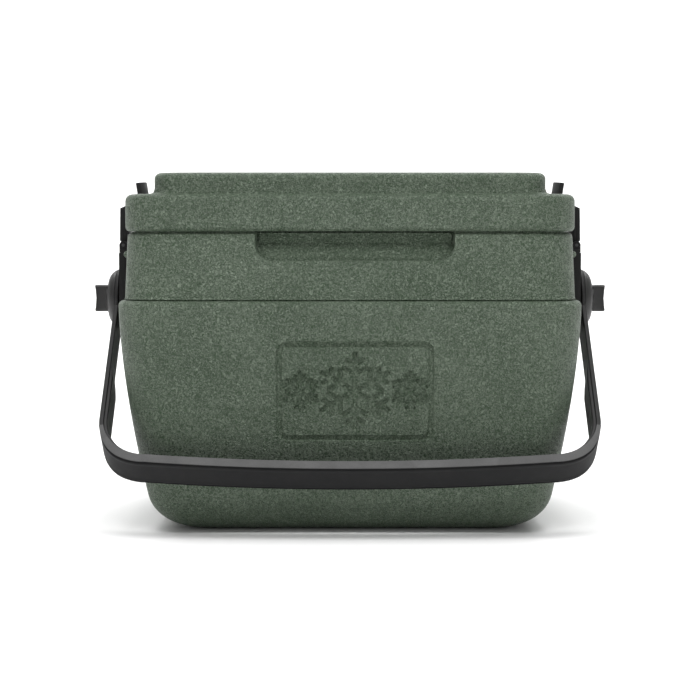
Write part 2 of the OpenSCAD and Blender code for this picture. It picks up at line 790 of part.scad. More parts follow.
module handle_frame() {
    color(black) at_rest() difference() {
        union() {
            translate([0, 0, -arm_w / 2]) linear_extrude(arm_w)
                polygon(concat([[arm_out, 0]], strap_side(arm_t / 2, 0), [[-arm_out, 0], [-arm_x, 0]],
                    reversed(strap_side(-arm_t / 2, 0)), [[arm_x, 0]]));
            for (s = [-1, 1]) on_side(s) translate([arm_x, 0, 0]) rotate([0, 90, 0]) {
                cylinder(h = arm_t - eye_chamfer, r = hub_r, $fn = 96);
                translate([0, 0, arm_t - eye_chamfer])
                    cylinder(h = eye_chamfer, r1 = hub_r, r2 = hub_r - eye_slope, $fn = 96);
            }
        }
        rotate([0, 90, 0]) cylinder(h = 3 * arm_out, r = bush_r, center = true, $fn = 64);
    }
}
// The cover's inner face follows the strap; its thickness grows round the bends
function cover_at(a) = cover_t * min((a - cover_end) / cover_ramp, 1);
module handle_grip() {
    inner = arm_t / 2 + fit;
    color("#232323") at_rest() translate([0, 0, -arm_w / 2 + cover_lip])
        linear_extrude(arm_w - 2 * cover_lip)
            polygon(concat(cover_side(inner), reversed(strap_side(inner, cover_end))));
}
module hub_cap(s) {
    side = cap_t * cap_side;
    color("#333333") on_side(s) translate([arm_out, 0, pivot_h]) rotate([0, 90, 0]) difference() {
        union() {
            cylinder(h = side, r1 = cap_base_r, r2 = cap_edge_r, $fn = 96);
            translate([0, 0, side]) cylinder(h = cap_t - side, r1 = cap_edge_r, r2 = cap_face_r, $fn = 96);
        }
        translate([0, 0, -over]) cylinder(h = cap_t + 2 * over, r = axle_r + bore_gap, $fn = 64);
    }
}
module pivot_bush(s) {
    color("#e6e4da") on_side(s) difference() {
        union() {
            rod_x(collar_x, collar_r, collar_t);
            rod_x(collar_x, bush_r, collar_t + arm_t);
        }
        rod_x(collar_x - over, axle_r + run_gap, collar_t + arm_t + 2 * over);
    }
}

// A knob: a round base and a wing with hollow faces and a dished end
module knob(s) {
    dish_r = (pow(knob_r, 2) + pow(knob_dish, 2)) / (2 * knob_dish);
    web_out = tip_out + move_gap + knob_web;
    color("#2f2f2f") on_side(s) difference() {
        union() {
            rod_x(knob_x, knob_base_r, knob_base_t);
            intersection() {
                rod_x(knob_x, knob_r, knob_l);
                translate([knob_x + knob_base_t / 2, -knob_t / 2, pivot_h - knob_r - over])
                    cube([knob_l, knob_t, 2 * (knob_r + over)]);
            }
        }
        for (t = [-1, 1])
            translate([knob_x + knob_base_t + knob_l / 2, t * (knob_waist / 2 + knob_hollow_r + over),
                pivot_h - 2 * knob_r])
                cylinder(h = 4 * knob_r, r = knob_hollow_r, $fn = 96);
        translate([knob_out - knob_dish + dish_r, 2 * knob_r, pivot_h]) rotate([90, 0, 0])
            cylinder(h = 4 * knob_r, r = dish_r, $fn = 128);
        rod_x(knob_x - over, tip_r + run_gap, tip_out + move_gap - knob_x + over);
        rod_x(knob_x - over, knob_screw_r + bore_gap, knob_l);
        rod_x(web_out, knob_screw_head_r + bore_gap, knob_l);
    }
}

body_shell();
body_foam();
body_liner();
side_bracket(-1);  // side_bracket_left
side_bracket(1);  // side_bracket_right
bracket_screws(-1);  // bracket_screws_left
bracket_screws(1);  // bracket_screws_right
bracket_inserts(-1);  // bracket_inserts_left
bracket_inserts(1);  // bracket_inserts_right
axle_insert(-1);  // axle_insert_left
axle_insert(1);  // axle_insert_right
pivot_axle(-1);  // pivot_axle_left
pivot_axle(1);  // pivot_axle_right
knob_screw(-1);  // knob_screw_left
knob_screw(1);  // knob_screw_right
latch_pin(-1);  // latch_pin_left
latch_pin(1);  // latch_pin_right
hinge_leaf(-1, -1);  // hinge_leaf_body_left
hinge_leaf(-1, 1);  // hinge_leaf_body_right
hinge_pin(-1);  // hinge_pin_left
hinge_pin(1);  // hinge_pin_right
hinge_screws(-1);  // hinge_screws_body
lid_shell();
lid_foam();
lid_liner();
lid_gasket();
hinge_leaf(1, -1);  // hinge_leaf_lid_left
hinge_leaf(1, 1);  // hinge_leaf_lid_right
hinge_screws(1);  // hinge_screws_lid
latch(-1);  // latch_left
latch(1);  // latch_right
latch_lip(-1);  // latch_lip_left
latch_lip(1);  // latch_lip_right
handle_frame();
handle_grip();
hub_cap(-1);  // hub_cap_left
hub_cap(1);  // hub_cap_right
pivot_bush(-1);  // pivot_bush_left
pivot_bush(1);  // pivot_bush_right
knob(-1);  // knob_left
knob(1);  // knob_right
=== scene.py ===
"""Looks of a personal hard cooler: a coated box and lid, a moulded carry handle, latches and hinges.

Shapes are worked out in millimetres, in the CAD part's own axes, and turned into metres as meshes are made.
"""

import math

import bmesh
import bpy
import numpy as np
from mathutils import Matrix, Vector


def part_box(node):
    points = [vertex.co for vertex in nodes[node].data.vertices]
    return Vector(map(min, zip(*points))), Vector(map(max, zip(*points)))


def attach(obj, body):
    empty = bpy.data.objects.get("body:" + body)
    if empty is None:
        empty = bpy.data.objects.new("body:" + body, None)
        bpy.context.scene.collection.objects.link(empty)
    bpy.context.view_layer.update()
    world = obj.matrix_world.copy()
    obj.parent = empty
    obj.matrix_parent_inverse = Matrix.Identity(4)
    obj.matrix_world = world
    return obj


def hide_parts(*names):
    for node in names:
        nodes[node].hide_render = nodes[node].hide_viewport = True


MM = 0.001

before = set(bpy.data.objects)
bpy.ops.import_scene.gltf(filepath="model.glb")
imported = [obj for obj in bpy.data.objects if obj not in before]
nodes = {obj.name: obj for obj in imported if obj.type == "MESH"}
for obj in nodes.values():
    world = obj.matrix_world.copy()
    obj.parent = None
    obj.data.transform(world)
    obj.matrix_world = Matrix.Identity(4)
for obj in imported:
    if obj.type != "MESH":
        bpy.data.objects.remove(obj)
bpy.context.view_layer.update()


def span(node):
    """Lowest and highest corner of a CAD node, in millimetres."""
    lo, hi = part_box(node)
    return np.array(lo) / MM, np.array(hi) / MM


# ---------------------------------------------------------------- sizes, in millimetres
body_lo, body_hi = span("body_shell")
lid_lo, lid_hi = span("lid_shell")
bracket_lo, bracket_hi = span("side_bracket_right")
cap_lo, cap_hi = span("hub_cap_right")
knob_lo, knob_hi = span("knob_right")

SEAT_X = body_hi[0]             # the brackets sit on these faces
BODY_D = -body_lo[1]            # half the depth across the shoulder
BODY_H = body_hi[2]
BODY_W = SEAT_X - 3             # half the width across the shoulder
SHOULDER_H = BODY_H - 66.5
SHOULDER_STEP = 6.5
UPPER_TAPER = 3
SIDE_LEAN = 34.5
LEAN_POWER = 1.6
BASE_R = 37
CORNER_R = 42                   # at the shoulder
BASE_CORNER_R = 25.5            # at the base
EDGE_R = 4.5
SHOULDER_R = 6                  # rounding of the shoulder
BEAD_H = 0.85                   # bead on the body's lap, just under the lid
LAP = 16                        # the coat laps this far over the seam's two faces
SKIN = 3
UPPER_R = CORNER_R - SHOULDER_STEP
TOP_W = BODY_W - SHOULDER_STEP - UPPER_TAPER
TOP_D = BODY_D - SHOULDER_STEP - UPPER_TAPER

PIVOT_H = (cap_lo[2] + cap_hi[2]) / 2
SEAT_R = 34                     # round lower end of the bracket's seat
SEAT_TOP = bracket_hi[2] - 9.9
PAD_X = (93, 147)               # hinge pads on the back, from and to
PAD_Z = (span("hinge_leaf_body_right")[0][2] - 1, span("hinge_leaf_body_right")[1][2] - 9)
PAD_Y = lid_hi[1]
LUG_Y = 62
LUG_R = 3.4
LUG_Z = SEAT_TOP - 3.4
LUG_X = TOP_W + 8.6

RECESS_X = 5                    # middle of the finger recess and of the emblem under it
RECESS_W = 193
RECESS_LOW = BODY_H - 27
RECESS_R = 16
RECESS_GROOVE = 1.6             # depth of the fine groove round the recess's floor
RECESS_Y = -(TOP_D - 11)

EMBLEM_Z = 145.2
EMBLEM_W = 153
EMBLEM_H = 97.5
EMBLEM_R = 11
EMBLEM_LINE = 4.8
EMBLEM_DEPTH = 1.9

RIM_W, RIM_D, PANEL_TOP = lid_hi
LID_Z = lid_lo[2]
RIM_Z = LID_Z + 36.5
RIM_EDGE = 7
PANEL_W = RIM_W - 29
PANEL_D = RIM_D - 12
PANEL_R = UPPER_R - 12
PANEL_EDGE = 6
PANEL_CROWN = 3
NOTCH_X = RIM_W - 10.5
NOTCH_Y = (-29, 24)
LEDGE_X = NOTCH_X - 6
LEDGE_Y = 20
LEDGE_Z = RIM_Z - 7

CAVITY_W = TOP_W - 34
CAVITY_D = TOP_D - 34
CAVITY_R = 26
CAVITY_DRAFT = 14
FLOOR_T = 36
FLOOR_R = 22
LINER = 2.5
PLUG_W = CAVITY_W - 5
PLUG_D = CAVITY_D - 5
PLUG_R = 22
PLUG_H = 12
SEAL_IN = 3
SEAL_W = 5
SEAT_T = 5.5
SEAL_SINK = 3.4

ARM_X, ARM_OUT = bracket_hi[0] + 1.2, cap_lo[0]
ARM_T = ARM_OUT - ARM_X
ARM_MID = (ARM_X + ARM_OUT) / 2
ARM_W = 35
HUB_R = 31.5
REACH = 223.5
BEND = 46
BOW = 8.5
COVER_T = 5.6
COVER_FROM, COVER_FULL = 8, 64  # degrees into the bend
COVER_SIDE_POINTS = 15          # points in each half of the cover's outside
COVER_HIGHLIGHT_COLS = 5             # of which this many, from each edge, get the painted highlight of the edge faces
GRIP_HALF = ARM_MID - BEND
REST_ANGLE = -90 - 45
KNOB_SQUARENESS = 0.22          # the nearer to 0, the squarer the knob's section
PAD_ARM, PAD_GRIP = 3.6, 1.4    # thickness of the strap's inner pad on the arms and on the grip
PAD_FROM = 100                  # the pad starts this far from the pivots, beyond the latches


# ---------------------------------------------------------------- small numeric helpers
def smooth(t):
    """0 to 1 with no corners."""
    t = np.clip(t, 0, 1)
    return t * t * (3 - 2 * t)


def inside(distance, width):
    """1 well inside a shape, 0 outside it, with a wall of that width between."""
    return smooth(0.5 - distance / width)


def rounded_box(u, v, half_u, half_v, r):
    """Signed distance to a rectangle with round corners, negative inside."""
    du, dv = np.abs(u) - (half_u - r), np.abs(v) - (half_v - r)
    return np.hypot(np.maximum(du, 0), np.maximum(dv, 0)) + np.minimum(np.maximum(du, dv), 0) - r


def segment(u, v, a, b):
    """Distance to the line from a to b."""
    a, b = np.array(a, float), np.array(b, float)
    d = b - a
    t = np.clip(((u - a[0]) * d[0] + (v - a[1]) * d[1]) / (d @ d), 0, 1)
    return np.hypot(u - a[0] - t * d[0], v - a[1] - t * d[1])


def steps(*stops):
    """Numbers along a line: stops are start, then (end, step) pairs."""
    out = [stops[0]]
    for end, step in stops[1:]:
        n = max(1, round(abs(end - out[-1]) / step))
        out += list(np.linspace(out[-1], end, n + 1)[1:])
    return np.array(out)


# ---------------------------------------------------------------- meshes
def mesh_object(name, points, faces):
    mesh = bpy.data.meshes.new(name)
    mesh.from_pydata((np.asarray(points) * MM).tolist(), [], faces)
    mesh.update()
    obj = bpy.data.objects.new(name, mesh)
    bpy.context.scene.collection.objects.link(obj)
    return obj


def loft(name, rings, closed=False):
    """Skins rings of equal point counts. Open lofts get a middle point at each end."""
    rings = np.asarray(rings, float)
    rows, cols, _ = rings.shape
    points = rings.reshape(-1, 3)
    j = np.arange(cols)
    k = (j + 1) % cols
    faces = []
    for i in range(rows if closed else rows - 1):
        a, b = i * cols, ((i + 1) % rows) * cols
        faces += np.stack([a + j, a + k, b + k, b + j], 1).tolist()
    if not closed:
        ends = np.array([rings[0].mean(0), rings[-1].mean(0)])
        first, last = len(points), len(points) + 1
        points = np.vstack([points, ends])
        top = (rows - 1) * cols
        faces += [[int(q), int(p), first] for p, q in zip(j, k)]
        faces += [[int(top + p), int(top + q), last] for p, q in zip(j, k)]
    return mesh_object(name, points, faces)


def soften(obj, angle=32):
    """Smooth shading, with sharp edges kept where faces meet at more than the angle."""
    bm = bmesh.new()
    bm.from_mesh(obj.data)
    bmesh.ops.recalc_face_normals(bm, faces=bm.faces)
    limit = math.radians(angle)
    for face in bm.faces:
        face.smooth = True
    for edge in bm.edges:
        edge.smooth = len(edge.link_faces) == 2 and edge.calc_face_angle(0) < limit
    bm.to_mesh(obj.data)
    bm.free()


def apply_modifiers(obj):
    depsgraph = bpy.context.evaluated_depsgraph_get()
    mesh = bpy.data.meshes.new_from_object(obj.evaluated_get(depsgraph))
    obj.modifiers.clear()
    obj.data = mesh


def combine(obj, others, operation):
    """Joins others to obj, or cuts them from it, and removes them."""
    for other in others:
        mod = obj.modifiers.new("combine", "BOOLEAN")
        mod.operation = operation
        mod.solver = "EXACT"
        mod.object = other
    bpy.context.view_layer.update()
    apply_modifiers(obj)
    for other in others:
        bpy.data.objects.remove(other)


def lathe(name, profile, origin, sides=96):
    """Turns (x, radius) pairs round a line along X through the origin."""
    a = np.linspace(0, 2 * math.pi, sides, endpoint=False)
    along, across, up = origin
    rings = [np.stack([np.full(sides, along + x), across + r * np.cos(a), up + r * np.sin(a)], 1)
             for x, r in profile]
    return loft(name, rings)


def softened_copy(name, node, width, segments=2):
    """A CAD node's shape with its edges rounded."""
    obj = bpy.data.objects.new(name, nodes[node].data.copy())
    bpy.context.scene.collection.objects.link(obj)
    obj.data.materials.clear()
    bm = bmesh.new()
    bm.from_mesh(obj.data)
    bmesh.ops.remove_doubles(bm, verts=bm.verts, dist=2e-6)
    bmesh.ops.dissolve_limit(bm, angle_limit=math.radians(0.5), verts=bm.verts, edges=bm.edges)
    bm.to_mesh(obj.data)
    bm.free()
    mod = obj.modifiers.new("edges", "BEVEL")
    mod.width = width * MM
    mod.segments = segments
    mod.limit_method = "ANGLE"
    mod.angle_limit = math.radians(28)
    mod.harden_normals = False
    bpy.context.view_layer.update()
    apply_modifiers(obj)
    return obj


def mirrored(obj, name):
    """A copy on the other side of the middle."""
    other = bpy.data.objects.new(name, obj.data.copy())
    bpy.context.scene.collection.objects.link(other)
    bm = bmesh.new()
    bm.from_mesh(other.data)
    bmesh.ops.scale(bm, vec=(-1, 1, 1), verts=bm.verts)
    bmesh.ops.reverse_faces(bm, faces=bm.faces)
    bm.to_mesh(other.data)
    bm.free()
    return other


def place(obj, body, replaced, material, angle=32):
    """Shades a piece and ties it to its body, its finish and the CAD nodes that it stands for."""
    soften(obj, angle)
    if not obj.data.materials:
        obj.data.materials.append(material)
    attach(obj, body)
    if replaced:
        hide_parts(*replaced)
    return obj


# ---------------------------------------------------------------- materials
def new_material(name):
    mat = bpy.data.materials.new(name)
    mat.use_nodes = True
    tree = mat.node_tree
    return mat, tree, tree.nodes["Principled BSDF"]


def add(tree, kind, inputs=None, **settings):
    node = tree.nodes.new(kind)
    for key, value in settings.items():
        setattr(node, key, value)
    for key, value in (inputs or {}).items():
        if isinstance(value, bpy.types.NodeSocket):
            tree.links.new(value, node.inputs[key])
        else:
            node.inputs[key].default_value = value
    return node


def calc(tree, operation, a, b=0.0, clamp=False):
    node = add(tree, "ShaderNodeMath", {0: a, 1: b}, operation=operation, use_clamp=clamp)
    return node.outputs[0]


def noise(tree, where, scale, detail=2.0, rough=0.5, distortion=0.0):
    node = add(tree, "ShaderNodeTexNoise", {"Vector": where, "Scale": scale, "Detail": detail,
                                            "Roughness": rough, "Distortion": distortion})
    return node.outputs["Fac"]


def ramp(tree, fac, stops):
    """Colours or greys at places between 0 and 1."""
    node = add(tree, "ShaderNodeValToRGB", {"Fac": fac})
    band = node.color_ramp
    while len(band.elements) < len(stops):
        band.elements.new(0.5)
    for element, (at, colour) in zip(band.elements, stops):
        element.position = at
        element.color = (*colour, 1) if isinstance(colour, tuple) else (colour, colour, colour, 1)
    return node.outputs["Color"]


def bump(tree, height, depth, strength=1.0):
    node = add(tree, "ShaderNodeBump", {"Height": height, "Distance": depth, "Strength": strength})
    return node.outputs["Normal"]


def object_space(tree):
    return add(tree, "ShaderNodeTexCoord").outputs["Object"]


def wrinkle_coat(name, low, high):
    """A sprayed coat: worm-like ridges a few millimetres apart over fine grit, darker between the ridges as
    painted shade and lighter on their crests as painted light, on top of the shading that their bump gives.
    """
    mat, tree, shader = new_material(name)
    where = object_space(tree)
    worms = noise(tree, where, 430, 1.0, 0.5, 1.1)
    ridge = calc(tree, "ABSOLUTE", calc(tree, "SUBTRACT", worms, 0.5))
    ridge = calc(tree, "SUBTRACT", 1.0, calc(tree, "MULTIPLY", ridge, 8.0), clamp=True)
    lumps = noise(tree, where, 560, 1.5, 0.55)
    grit = noise(tree, where, 1400, 2, 0.6)
    height = calc(tree, "ADD", calc(tree, "MULTIPLY", ridge, 0.8), calc(tree, "MULTIPLY", lumps, 1.3))
    height = calc(tree, "ADD", height, calc(tree, "MULTIPLY", grit, 0.2))
    cloud = noise(tree, where, 14, 3, 0.55)
    # Tone follows the bump's ridges and lumps: painted light on their crests, painted shade between them. The
    # slow cloud drift added next is random tone of the coat.
    tone = calc(tree, "ADD", calc(tree, "MULTIPLY", ridge, 0.55), calc(tree, "MULTIPLY", lumps, 0.62))
    drift = calc(tree, "MULTIPLY", calc(tree, "SUBTRACT", cloud, 0.5), 0.3)
    tone = calc(tree, "ADD", tone, drift, clamp=True)
    tree.links.new(ramp(tree, tone, [(0.25, low), (0.9, high)]), shader.inputs["Base Color"])
    tree.links.new(ramp(tree, calc(tree, "ADD", grit, calc(tree, "MULTIPLY", ridge, -0.2)),
                        [(0.2, 0.40), (0.8, 0.60)]), shader.inputs["Roughness"])
    tree.links.new(bump(tree, height, 0.0010, 1.0), shader.inputs["Normal"])
    shader.inputs["Specular IOR Level"].default_value = 0.5
    return mat


def moulded(name, dark, light, rough, grain, depth, scuffs=0.0, shine=0.5):
    """Moulded plastic or rubber: a fine even grain, a slow drift of tone and a few duller patches."""
    mat, tree, shader = new_material(name)
    where = object_space(tree)
    fine = noise(tree, where, grain, 3, 0.6)
    drift = noise(tree, where, 22, 4, 0.6)
    tone = calc(tree, "ADD", calc(tree, "MULTIPLY", fine, 0.5), calc(tree, "MULTIPLY", drift, 0.5))
    tree.links.new(ramp(tree, tone, [(0.3, dark), (0.7, light)]), shader.inputs["Base Color"])
    patch = noise(tree, where, 60, 5, 0.7, 0.5)
    worn = calc(tree, "ADD", calc(tree, "MULTIPLY", fine, 0.4), calc(tree, "MULTIPLY", patch, 0.6))
    rough_out = ramp(tree, worn,
                     [(0.3, max(rough - 0.07, 0.05)), (0.7, min(rough + 0.07 + scuffs, 1.0))])
    tree.links.new(rough_out, shader.inputs["Roughness"])
    tree.links.new(bump(tree, fine, depth, 0.6), shader.inputs["Normal"])
    shader.inputs["Specular IOR Level"].default_value = shine
    return mat


def turned_metal(name, dark, light, rough, lines):
    """Metal with fine marks round or along it."""
    mat, tree, shader = new_material(name)
    where = object_space(tree)
    stretched = add(tree, "ShaderNodeMapping", {"Vector": where, "Scale": lines}).outputs["Vector"]
    marks = noise(tree, stretched, 1.0, 4, 0.6)
    spots = noise(tree, where, 180, 3, 0.6)
    tree.links.new(ramp(tree, marks, [(0.3, dark), (0.7, light)]), shader.inputs["Base Color"])
    tree.links.new(ramp(tree, calc(tree, "ADD", calc(tree, "MULTIPLY", marks, 0.6),
                                   calc(tree, "MULTIPLY", spots, 0.4)),
                        [(0.3, rough - 0.06), (0.7, rough + 0.1)]), shader.inputs["Roughness"])
    tree.links.new(bump(tree, marks, 0.00003, 0.5), shader.inputs["Normal"])
    shader.inputs["Metallic"].default_value = 1.0
    return mat


def foam_material():
    """Closed-cell foam, seen only with the skin off."""
    mat, tree, shader = new_material("foam_cells")
    where = object_space(tree)
    cells = add(tree, "ShaderNodeTexVoronoi", {"Vector": where, "Scale": 700.0}).outputs["Distance"]
    tree.links.new(ramp(tree, cells, [(0.1, (0.70, 0.64, 0.46)), (0.6, (0.86, 0.82, 0.66))]),
                   shader.inputs["Base Color"])
    tree.links.new(bump(tree, cells, 0.0003, 0.7), shader.inputs["Normal"])
    shader.inputs["Roughness"].default_value = 0.85
    return mat


COAT = wrinkle_coat("green_coat", (0.024, 0.050, 0.021), (0.170, 0.214, 0.158))
NYLON = moulded("black_nylon", (0.006, 0.006, 0.006), (0.011, 0.011, 0.011), 0.5, 1500, 0.00006, shine=0.2)
ARM_NYLON = moulded("arm_nylon", (0.008, 0.008, 0.008), (0.014, 0.014, 0.014), 0.55, 1300, 0.00008, shine=0.3)
HUB_NYLON = moulded("hub_nylon", (0.014, 0.014, 0.014), (0.022, 0.022, 0.021), 0.42, 1500, 0.00006, shine=0.4)
GRIP_FACE = moulded("grip_rubber", (0.007, 0.007, 0.008), (0.013, 0.013, 0.013), 0.7, 1100, 0.0001,
                    shine=0.25)
# Lighter grey for the grip cover's edge faces, which face the light: a painted highlight.
GRIP_EDGE_HIGHLIGHT = moulded("grip_edge_painted_highlight", (0.045, 0.045, 0.045), (0.080, 0.080, 0.080), 0.62, 700, 0.00016, 0.08)
SEAL = moulded("seal_rubber", (0.010, 0.010, 0.011), (0.018, 0.018, 0.019), 0.6, 1000, 0.00006, shine=0.3)
LINER_SKIN = moulded("liner_plastic", (0.66, 0.67, 0.65), (0.76, 0.77, 0.75), 0.28, 420, 0.00005)
BUSH = moulded("bush_plastic", (0.74, 0.72, 0.64), (0.84, 0.82, 0.74), 0.4, 900, 0.00004)
STEEL = turned_metal("stainless", (0.30, 0.30, 0.30), (0.44, 0.44, 0.43), 0.36, (90.0, 1600.0, 1600.0))
DARK_STEEL = turned_metal("dark_steel", (0.05, 0.05, 0.05), (0.09, 0.09, 0.09), 0.45, (90.0, 1600.0, 1600.0))
BRASS = turned_metal("brass", (0.62, 0.46, 0.20), (0.78, 0.60, 0.30), 0.32, (90.0, 1400.0, 1400.0))
FOAM = foam_material()


# ---------------------------------------------------------------- rings round a box with round corners
class Columns:
    """Where points lie round an outline. Those near the middle of each side keep their distance from it,
    and the rest spread over what is left of the side."""

    def __init__(self, front, side, back, arc, spread=8):
        self.front, self.side, self.back = (self._edge(values, spread) for values in (front, side, back))
        self.arc = np.radians(np.linspace(0, 90, arc + 2)[1:-1])

    @staticmethod
    def _edge(values, spread):
        core = max(abs(values[0]), abs(values[-1]))
        tail = np.linspace(1, 2, spread + 1)[1:]
        return core, np.concatenate([-tail[::-1], values / core, tail])

    @staticmethod
    def _along(edge, length):
        core, c = edge
        core = min(core, 0.85 * length)
        return np.clip(c, -1, 1) * core + np.sign(c) * np.maximum(np.abs(c) - 1, 0) * (length - core)

    def ring(self, half_w, half_d, r, z):
        """Points anticlockwise from the left end of the front."""
        lx, ly = half_w - r, half_d - r
        front, back = self._along(self.front, lx), self._along(self.back, lx)
        side = self._along(self.side, ly)
        arc = self.arc

        def corner(cx, cy, turn):
            return np.stack([cx + r * np.cos(arc + turn), cy + r * np.sin(arc + turn)], 1)

        right = math.pi / 2
        flat = np.concatenate([
            np.stack([front, np.full(len(front), -half_d)], 1), corner(lx, -ly, -right),
            np.stack([np.full(len(side), half_w), side], 1), corner(lx, ly, 0),
            np.stack([-back, np.full(len(back), half_d)], 1), corner(-lx, ly, right),
            np.stack([np.full(len(side), -half_w), -side], 1), corner(-lx, -ly, 2 * right)])
        return np.column_stack([flat, np.full(len(flat), z)])

    def rings(self, rows):
        return np.array([self.ring(*row) for row in rows])


def lean(z):
    return SIDE_LEAN * (max(SHOULDER_H - z, 0) / SHOULDER_H) ** LEAN_POWER


def corner(z):
    return CORNER_R - (CORNER_R - BASE_CORNER_R) * max(SHOULDER_H - z, 0) / SHOULDER_H


def taper(z):
    return SHOULDER_STEP + UPPER_TAPER * (z - SHOULDER_H) / (BODY_H - SHOULDER_H)


def quarter(r, count, start=0, end=90):
    """(set-in, drop) of a rounded edge, from its side to its top."""
    for a in np.radians(np.linspace(start, end, count)):
        yield r * (1 - math.cos(a)), r * (1 - math.sin(a))


def recess_distance(x, z, grow=0.0):
    """Signed distance to the finger recess's outline, which runs on above the body."""
    tall = 40
    return rounded_box(x - RECESS_X, z - (RECESS_LOW + tall), RECESS_W / 2 + grow, tall + grow,
                       RECESS_R + grow)


# ---------------------------------------------------------------- the emblem: a plain frame and snowflakes
def snowflake(u, v, size):
    """Distance to a six-armed snowflake's lines."""
    d = np.full(u.shape, 1e3)
    for i in range(6):
        a = math.radians(90 + 60 * i)
        tip = np.array([math.cos(a), math.sin(a)]) * size
        d = np.minimum(d, segment(u, v, (0, 0), tip))
        for share, length in ((0.45, 0.34), (0.72, 0.24)):
            root = tip * share
            for turn in (-60, 60):
                b = a + math.radians(turn)
                end = root + np.array([math.cos(b), math.sin(b)]) * size * length
                d = np.minimum(d, segment(u, v, root, end))
    return d


def emblem_depth(x, z):
    u, v = x - RECESS_X, z - EMBLEM_Z
    line = rounded_box(u, v, (EMBLEM_W - EMBLEM_LINE) / 2, (EMBLEM_H - EMBLEM_LINE) / 2,
                       EMBLEM_R - EMBLEM_LINE / 2)
    depth = inside(np.abs(line) - EMBLEM_LINE / 2, 0.9)
    depth = np.maximum(depth, inside(snowflake(u, v, 37) - 2.2, 0.9))
    for side in (-1, 1):
        depth = np.maximum(depth, inside(snowflake(u - side * 54, v, 19) - 1.6, 0.9))
    return EMBLEM_DEPTH * depth


# ---------------------------------------------------------------- body
def body_columns():
    front = RECESS_X + steps(-111, (106, 0.75))
    return Columns(front, steps(-40, (40, 1.25)), steps(-152, (152, 2.0)), 12, 9)


def body_profile():
    """(half width, half depth, corner radius, height) up the outside, over the edge and down the inside."""
    rows = []

    def lower(z, set_in=0.0):
        e = lean(z) + set_in
        rows.append((BODY_W - e, BODY_D - e, corner(z), z))

    def upper(z, set_in=0.0):
        e = taper(z) + set_in
        rows.append((BODY_W - e, BODY_D - e, UPPER_R - set_in, z))

    flat_w, flat_d = BODY_W - SIDE_LEAN - BASE_R, BODY_D - SIDE_LEAN - BASE_R
    floor = [(flat_w * k, flat_d * k, BASE_CORNER_R * k) for k in (0.03, 0.3, 0.6, 0.85)]
    rows += [(*row, 0) for row in floor]
    for a in np.radians(np.linspace(0, 90, 16)):
        lower(BASE_R * (1 - math.cos(a)), BASE_R * (1 - math.sin(a)))
    emblem_low, emblem_high = EMBLEM_Z - EMBLEM_H / 2 - 3, EMBLEM_Z + EMBLEM_H / 2 + 3
    for z in steps(BASE_R, (emblem_low, 4), (emblem_high, 0.75), (SHOULDER_H - SHOULDER_R, 1.25))[1:]:
        lower(z)
    for a in np.radians(np.linspace(10, 80, 8)):
        e = SHOULDER_R * (1 - math.cos(a))
        rows.append((BODY_W - e, BODY_D - e, CORNER_R - e, SHOULDER_H - SHOULDER_R * (1 - math.sin(a))))
    crease = SHOULDER_STEP + 0.7
    for e, dz in ((crease - 1.6, -0.25), (crease - 0.2, -0.1), (crease, 0.3), (crease - 0.2, 0.9),
                  (crease - 1.2, 1.3)):
        rows.append((BODY_W - e, BODY_D - e, UPPER_R, SHOULDER_H + dz))
    for z in steps(SHOULDER_H + 2.4, (RECESS_LOW - 2, 1.5), (RECESS_LOW + 4, 0.6), (BODY_H - EDGE_R, 1.1)):
        upper(z)
    for set_in, drop in list(quarter(EDGE_R, 7))[1:]:
        upper(BODY_H - drop, set_in)
    bead = BODY_H + BEAD_H
    for set_in, z in ((3.0, BODY_H - 0.2), (3.2, bead), (7, bead), (7.4, BODY_H), (LAP, BODY_H),
                      (LAP, BODY_H - SKIN), (SKIN, BODY_H - SKIN), (SKIN, RECESS_LOW - 4),
                      (SKIN, SHOULDER_H + 3)):
        upper(z, set_in)
    for z in (SHOULDER_H - SKIN - EDGE_R, 170, 110, 60):
        lower(z, SKIN)
    r = BASE_R - SKIN
    for a in np.radians((90, 60, 30, 0)):
        lower(SKIN + r * (1 - math.cos(a)), SKIN + r * (1 - math.sin(a)))
    rows += [(w, d, c, SKIN) for w, d, c in floor[::-2]]
    return rows


